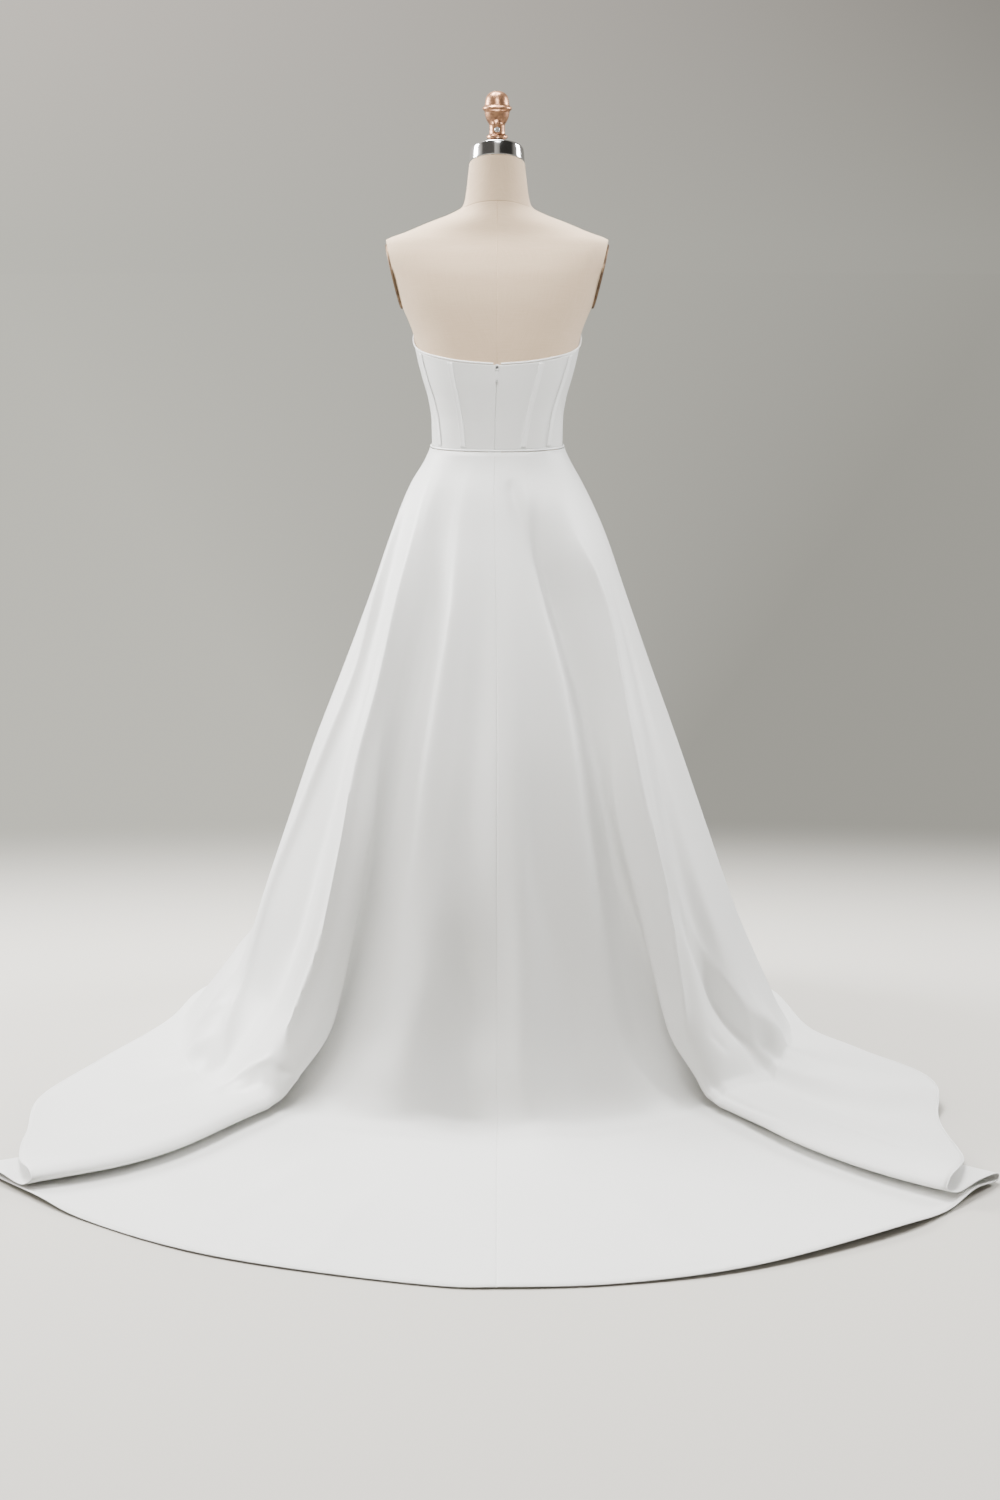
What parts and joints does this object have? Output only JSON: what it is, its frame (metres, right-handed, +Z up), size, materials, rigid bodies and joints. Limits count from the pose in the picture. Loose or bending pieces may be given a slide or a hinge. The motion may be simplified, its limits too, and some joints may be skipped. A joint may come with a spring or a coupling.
{
  "type": "strapless wedding dress with train on limbless dress form",
  "caption": "Strapless A-line satin gown with boned bodice, back zip and long folded train, standing on a limbless linen dress form with a turned finial.",
  "frame": {"origin": "middle of the underside of the dress form's foot, on the floor under the form's upright axis", "axes": "+Z up; the wearer's front faces -Y and the train runs out along +Y; the wearer's left is +X"},
  "size_m": [1.6321, 1.5503, 1.7145],
  "materials": {
    "satin": "smooth white duchess satin with a soft sheen",
    "satin_trim": "white satin, folded and pressed",
    "linen": "beige linen cover, matt",
    "band_chrome": "polished",
    "copper": "brown coppered, satin",
    "screw_steel": "plain steel",
    "bronze_plate": "dark bronze",
    "pole_steel": "satin",
    "foot_iron": "painted satin black",
    "zip_enamel": "white enamelled metal"
  },
  "bodies": {
    "dress_on_form": {"armhole_plate_left": "bronze_plate", "armhole_plate_right": "bronze_plate", "bodice_back_left": "satin", "bodice_back_right": "satin", "bodice_front": "satin", "bodice_side_back_left": "satin", "bodice_side_back_right": "satin", "bodice_side_front_left": "satin", "bodice_side_front_right": "satin", "bodice_side_left": "satin", "bodice_side_right": "satin", "casing_front_left": "satin_trim", "casing_front_right": "satin_trim", "casing_inner_back_left": "satin_trim", "casing_inner_back_right": "satin_trim", "casing_outer_back_left": "satin_trim", "casing_outer_back_right": "satin_trim", "casing_side_left": "satin_trim", "casing_side_right": "satin_trim", "finial": "copper", "finial_screw": "screw_steel", "foot": "foot_iron", "form_torso": "linen", "neck_band": "band_chrome", "piping_top": "satin_trim", "piping_waist": "satin_trim", "pole": "pole_steel", "skirt_back_left": "satin", "skirt_back_right": "satin", "skirt_front": "satin", "zip_slider": "zip_enamel"},
    "zip_tab": {"zip_pull_tab": "zip_enamel"}
  },
  "joints": [
    {"name": "zip_tab_hinge", "type": "hinge", "parent": "dress_on_form", "child": "zip_tab", "pos_m": [0, 0.11427, 1.244], "axis": [1, 0, 0], "range_deg": [-8, 150]}
  ]
}
